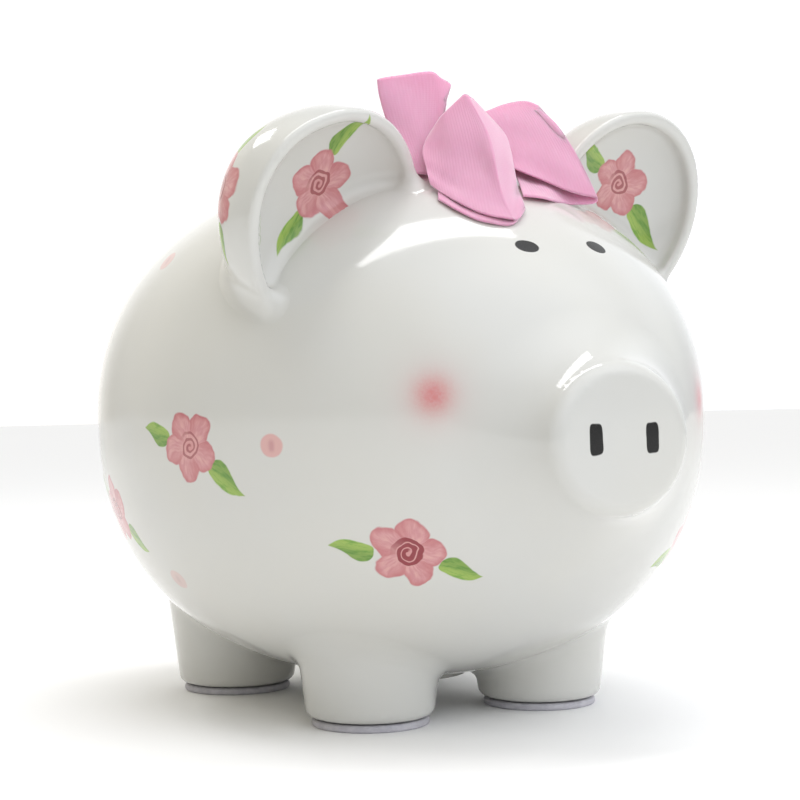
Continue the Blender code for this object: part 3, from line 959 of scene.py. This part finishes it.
def grosgrain():
    """Pink ribbon with ribs across it, fine warp threads and uneven dye, from the weave's own coordinates.
    The rib crests and the warp threads are also coloured paler than the hollows between them: painted
    highlight and shade.
    """
    graph = Graph("grosgrain ribbon")
    weave = graph.node("Attribute", {}, attribute_name="weave").outputs["Vector"]
    parts = graph.node("SeparateXYZ", {0: weave}).outputs
    ribs = graph.math("ABSOLUTE", graph.math("SINE", graph.times(parts[0], pi / RIB_PITCH)))
    warp = graph.math("ABSOLUTE", graph.math("SINE", graph.times(parts[1], pi / WARP_PITCH)))
    stretched = graph.node("VectorMath", {0: weave, 1: (0.9, 0.12, 1.0)}, operation="MULTIPLY").outputs[0]
    threads = graph.noise(stretched, 2.0, 3.0)
    # Uneven dye, with the rib crests paler than the hollows: painted shade between the ribs
    dye_and_rib_shade = graph.ramp(graph.math("MULTIPLY_ADD", threads, 0.6, graph.times(ribs, 0.08)), 0.15, 0.75)
    colour = graph.mix(dye_and_rib_shade, RIBBON_DEEP, RIBBON)
    height = graph.math("MULTIPLY_ADD", warp, 0.25, ribs)
    return graph.finish(
        # Warp threads paler: a painted highlight along each thread
        Base_Color=graph.mix(graph.times(warp, 0.12), colour, RIBBON_THREAD_HIGHLIGHT),
        Roughness=graph.ramp(threads, 0.3, 0.7, 0.62, 0.78),
        Sheen_Weight=0.8,
        Sheen_Roughness=0.35,
        Subsurface_Weight=0.5,
        Subsurface_Radius=(1.0, 0.5, 0.75),
        Subsurface_Scale=0.0015,
        Normal=graph.bump(height, 0.05 * MM, 0.4),
    )


KNOT = (0.0, -36.4, 158.6)
BOW_TURN = radians(-21)


def beside_knot(along, forward, up):
    """A place in millimetres from the knot: along the bow towards the pig's left, forward and up."""
    x = along * cos(BOW_TURN) + forward * sin(BOW_TURN)
    y = along * sin(BOW_TURN) - forward * cos(BOW_TURN)
    return KNOT[0] + x, KNOT[1] + y, KNOT[2] + up


BAND_TURNS = 16
BAND_RADIUS = 4.8
BAND_GROWTH = 0.03
BAND_FOLDS = ((-5.6, -0.8), (-3.6, 0.1), (-1.8, 0.35), (0, 0.0), (2, 0.4), (3.8, 0.1), (5.6, -0.8))


def band_rows():
    """Rows of the band that wraps the knot, which is ribbon folded along its length."""
    rows = []
    for k in range(BAND_TURNS + 1):
        a = 2 * pi * k / (BAND_TURNS + 0.5)
        row = []
        for across, rise in BAND_FOLDS:
            radius = BAND_RADIUS + BAND_GROWTH * k + rise
            row.append(beside_knot(across, radius * cos(a), radius * sin(a)))
        rows.append(row)
    return rows


# Each part of the bow as rows of places in millimetres. Each row runs across the ribbon.


def tail_front_rows():
    """The tail on the forehead: its face, a crease, a narrow side, and the layer folded under it."""
    return [
        [(-15.3, -39.5, 158.5), (-19.6, -42, 152.9), (-21, -45.5, 147.9), (-22.5, -49.5, 143)],
        [(-14.6, -41.5, 160.7), (-17.8, -45, 152.9), (-19.6, -49, 146.3), (-21.7, -54, 140.2)],
        [(-13.4, -43.5, 163.2), (-15, -49, 153.6), (-17, -54, 144.3), (-19.6, -60.6, 136.5)],
        [(-8.5, -44.5, 167.6), (-10.1, -52, 155.4), (-11.9, -58, 144.2), (-15.4, -65.8, 133.6)],
        [
            (-7.6, -45, 167.9), (-7.3, -52.2, 158.5), (-8.8, -58.6, 148.4), (-9.9, -63.5, 138.5),
            (-9.9, -68.3, 132.6),
        ],
        [
            (-6.8, -45, 167.7), (-6.2, -52, 158.6), (-7.5, -58.2, 148.8), (-8.7, -63.2, 138.9),
            (-9.4, -68.5, 132.4),
        ],
        [
            (-3.9, -42.5, 167.5), (0.6, -47.5, 159.1), (-0.5, -53, 150.1), (-2.4, -58.5, 140.9),
            (-6.8, -67.7, 133.5),
        ],
        [(-0.8, -40, 167), (6.1, -43.5, 158.1), (5, -48.5, 149.6), (2.1, -54.5, 142.1), (-3.3, -64.9, 136)],
        [(-0.5, -38.6, 166.9), (4.9, -42.8, 157), (3.8, -47.8, 148.8), (-10, -68.6, 131.5)],
        [(-5.8, -41, 166.8), (-5.9, -46, 154.6), (-9.1, -53.5, 143), (-17.2, -66.3, 132)],
        [(-10.4, -40, 162.3), (-12.3, -45, 153), (-15, -50.5, 143.8), (-21.7, -60.8, 135)],
        [(-12.3, -38, 159.7), (-15.1, -42, 152.6), (-18.3, -47, 145.6), (-23.5, -54.7, 138.5)],
    ]


def loop_left_rows():
    """The loop towards the left ear: its upper face, the fold at its tip, and its lower layer."""
    return [
        [(6.7, -33, 166.1), (7.8, -37, 160.6), (7.8, -41.5, 154.6), (6.8, -46, 148.9)],
        [(13.2, -33, 168.5), (12.9, -38.5, 161.9), (12.4, -44, 154.6), (11.5, -50, 146.5)],
        [(18.7, -34.5, 169.8), (18.9, -41, 162.5), (18.6, -48, 153.9), (18.2, -54.5, 142.9)],
        [(21.6, -37, 168.5), (23.4, -44.5, 161), (25.1, -51.5, 150.9), (25.3, -57.5, 141)],
        [(21.9, -37.6, 167.9), (23.9, -45.3, 160.3), (25.7, -52, 150.3), (26, -58, 140.3)],
        [(20.6, -38.4, 166.8), (22.6, -45.6, 158.8), (25.3, -51.2, 149), (25, -57, 139.3)],
        [(17.9, -34.5, 166.6), (18.8, -40.5, 158.1), (19.3, -47, 149.2), (18.7, -54.6, 139.1)],
        [(13.1, -33, 164.9), (13.5, -37.5, 157.6), (13.6, -44.5, 148), (8.4, -58.8, 139.6)],
        [(7.1, -32.4, 163.4), (8.6, -35.8, 157.5), (9.7, -42.5, 148.9), (0.5, -59.1, 139.9)],
    ]


def loop_right_rows():
    """The loop that stands up behind the right ear: an open mouth at the top, pinched towards the knot."""
    return [
        [(-6.6, -33.4, 168.6), (-7.2, -34, 165.6), (-8.6, -35.6, 162), on_head(-10, -36, 2)],
        [(-3, -31, 173), (-5.2, -32.6, 170), (-7.4, -34.4, 164.6), on_head(-9.6, -36, 2)],
        [(-5.4, -29.6, 175), (-7.2, -31.4, 170.6), (-10.4, -36, 160), on_head(-13, -42.5, 1.4)],
        [(-8, -28.6, 176.6), (-9, -30.6, 170.8), (-13, -36, 159.6), on_head(-15.5, -43, 1.4)],
        [(-15.8, -27.8, 175.4), (-16, -29.6, 170), (-17.4, -35, 159.6), on_head(-18.4, -42.5, 1.4)],
        [(-22.6, -27, 174), (-22.8, -28.4, 169.2), (-22, -32, 159.6), on_head(-21, -40, 1.4)],
        [(-23, -26.2, 173.4), (-23.2, -27.6, 168.6), (-22, -30.6, 159.4), on_head(-21, -38, 1.4)],
        [(-15.6, -25.8, 173.4), (-15.8, -27.2, 168), (-15.4, -27.6, 162), on_head(-14.4, -26.6, 1.4)],
        [(-8, -26.8, 171.6), (-8, -28, 166.6), (-7.8, -28.6, 162), on_head(-7.6, -28.6, 1.4)],
    ]


def tail_rear_rows():
    """The tail that lies on the back of the head."""
    return [
        [(-3.6, -31, 163.6), (1, -31.4, 164.2), (6, -33, 162.4), (8, -33.6, 160)],
        [(-4, -26.6, 162), (2, -26.2, 162.8), (8, -27.2, 161.4), (12, -28.4, 158.6)],
        [on_head(-7, -19, 3.2), on_head(1, -18, 5), on_head(10, -18.6, 4.6), on_head(17, -20, 2.6)],
        [on_head(-9, -11, 1.6), on_head(2, -10, 3), on_head(13, -11, 3), on_head(23, -13, 1.4)],
        [on_head(-10, -1.6, 0.8), on_head(2, -2.4, 1.6), on_head(14, -4, 1.6), on_head(25, -6.4, 0.8)],
    ]


def bow():
    cloth = grosgrain()
    head = ["body"]
    folded = {"material": cloth, "crumple": 0.1, "held": "folded"}
    ribbon(
        "ribbon_tail_front",
        tail_front_rows(),
        flat=(RIBBON_WIDTH, 0.056),
        rests_on=head,
        replaced="bow_tail_front",
        **folded,
    )
    ribbon(
        "ribbon_loop_left",
        loop_left_rows(),
        flat=(RIBBON_WIDTH, 0.040),
        rests_on=head,
        replaced="bow_loop_left",
        **folded,
    )
    ribbon(
        "ribbon_loop_right",
        loop_right_rows(),
        flat=(RIBBON_WIDTH, 0.026),
        rests_on=["bow_band"],
        replaced="bow_loop_right",
        **folded,
    )
    ribbon(
        "ribbon_tail_rear",
        tail_rear_rows(),
        material=cloth,
        flat=(RIBBON_WIDTH, 0.029),
        crumple=0.12,
        held="laid",
        rests_on=head,
        replaced="bow_tail_rear",
    )
    ribbon(
        "bow_band",
        band_rows(),
        material=cloth,
        flat=(0.012, 0.042),
        crumple=0.04,
        held="folded",
        rests_on=head,
        replaced="bow_knot",
    )


# ---- Floor, light and camera ----

CAMERA_PLACE = Vector((-285.8, -446.6, 87.9)) * MM
CAMERA_AZIMUTH = radians(32.51)
CAMERA_DIP = radians(0.11)
CAMERA_ROLL = radians(-0.86)
CAMERA_LENS = 82.44


def camera():
    data = bpy.data.cameras.new("camera")
    data.lens = CAMERA_LENS
    data.clip_start = 0.01
    obj = bpy.data.objects.new("camera", data)
    turn = Matrix.Rotation(-CAMERA_AZIMUTH, 4, "Z") @ Matrix.Rotation(pi / 2 - CAMERA_DIP, 4, "X")
    obj.matrix_world = Matrix.Translation(CAMERA_PLACE) @ turn @ Matrix.Rotation(CAMERA_ROLL, 4, "Z")
    bpy.context.scene.collection.objects.link(obj)
    bpy.context.scene.camera = obj


def softbox(name, side, distance, size, power):
    """A rectangular light that faces the bank from a direction."""
    data = bpy.data.lights.new(name, "AREA")
    data.shape = "RECTANGLE"
    data.size, data.size_y = size
    data.energy = power
    obj = bpy.data.objects.new(name, data)
    way = Vector(side).normalized()
    obj.location = Vector(CENTRE) + way * distance
    obj.rotation_euler = (-way).to_track_quat("-Z", "Y").to_euler()
    bpy.context.scene.collection.objects.link(obj)


# The studio's light: azimuth (0 faces the snout, 90 the pig's left side) and height in degrees, the cosine at
# which it has faded away, and its colour
SKY_BASE = (0.03, 0.03, 0.03)
SKY_LOBES = (
    (110, 6, 0.72, (0.31, 0.34, 0.38)),
    (147, 6, 0.72, (0.78, 0.77, 0.76)),
    (-170, 6, 0.72, (0.5, 0.48, 0.44)),
    (-32, 42, 0.62, (0.55, 0.56, 0.55)),
    (20, 42, 0.62, (1.2, 1.24, 1.34)),
    (75, 42, 0.62, (0.72, 0.72, 0.7)),
    (147, 42, 0.62, (0.37, 0.38, 0.4)),
    (-140, 42, 0.62, (0.5, 0.47, 0.38)),
    (-85, 42, 0.62, (0.07, 0.05, 0.02)),
    (0, 90, 0.75, (0.3, 0.29, 0.3)),
)


def towards(azimuth, height):
    """A direction from the bank."""
    a, e = radians(azimuth), radians(height)
    return Vector((sin(a) * cos(e), -cos(a) * cos(e), sin(e)))


def lobe(tree, direction, azimuth, height, low):
    """How near a direction is to a lobe's middle, from 0 where it has faded away to 1."""
    dot = tree.nodes.new("ShaderNodeVectorMath")
    dot.operation = "DOT_PRODUCT"
    tree.links.new(direction, dot.inputs[0])
    dot.inputs[1].default_value = towards(azimuth, height)
    share = tree.nodes.new("ShaderNodeMapRange")
    share.interpolation_type = "SMOOTHSTEP"
    share.inputs["From Min"].default_value = low
    tree.links.new(dot.outputs["Value"], share.inputs["Value"])
    return share.outputs["Result"]


def sky():
    """Soft white light, mostly from above and the front right, dimmer and warmer from the left."""
    world = bpy.data.worlds.new("studio")
    world.use_nodes = True
    tree = world.node_tree
    direction = tree.nodes.new("ShaderNodeTexCoord").outputs["Generated"]
    total = None
    for azimuth, height, low, colour in SKY_LOBES:
        add = tree.nodes.new("ShaderNodeMix")
        add.data_type = "RGBA"
        add.blend_type = "ADD"
        tree.links.new(lobe(tree, direction, azimuth, height, low), add.inputs[0])
        add.inputs[6].default_value = (*SKY_BASE, 1)
        if total is not None:
            tree.links.new(total, add.inputs[6])
        add.inputs[7].default_value = (*colour, 1)
        total = add.outputs[2]
    tree.links.new(total, tree.nodes["Background"].inputs["Color"])
    bpy.context.scene.world = world


FLOOR_REACH = 6.0
FLOOR_WHITE = (0.96, 0.96, 0.96, 1)


def pale_floor():
    mesh = bpy.data.meshes.new("floor")
    corners = [(x * FLOOR_REACH, y * FLOOR_REACH, 0) for x, y in ((-1, -1), (1, -1), (1, 1), (-1, 1))]
    mesh.from_pydata(corners, [], [(0, 1, 2, 3)])
    floor = bpy.data.objects.new("floor", mesh)
    bpy.context.scene.collection.objects.link(floor)
    mesh.materials.append(Graph("white floor").finish(Base_Color=FLOOR_WHITE, Roughness=0.9))
    floor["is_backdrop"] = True


def studio():
    bpy.context.scene.view_settings.view_transform = "Standard"
    sky()
    pale_floor()
    softbox("back", (-0.24, 0.6, 0.77), 1.0, (0.24, 0.2), 1.1)
    softbox("overhead", (0, 0, 1), 0.9, (0.8, 0.18), 3.4)


def bounds_record():
    """Puts the CAD box and the visual model's box side by side; the result is not kept."""
    boxes = {"cad": cad_box, "visual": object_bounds()}
    {name: [list(corner) for corner in box] for name, box in boxes.items()}


glazed_pieces()
foot_pads()
stopper()
glue()
bow()
studio()
camera()
bounds_record()
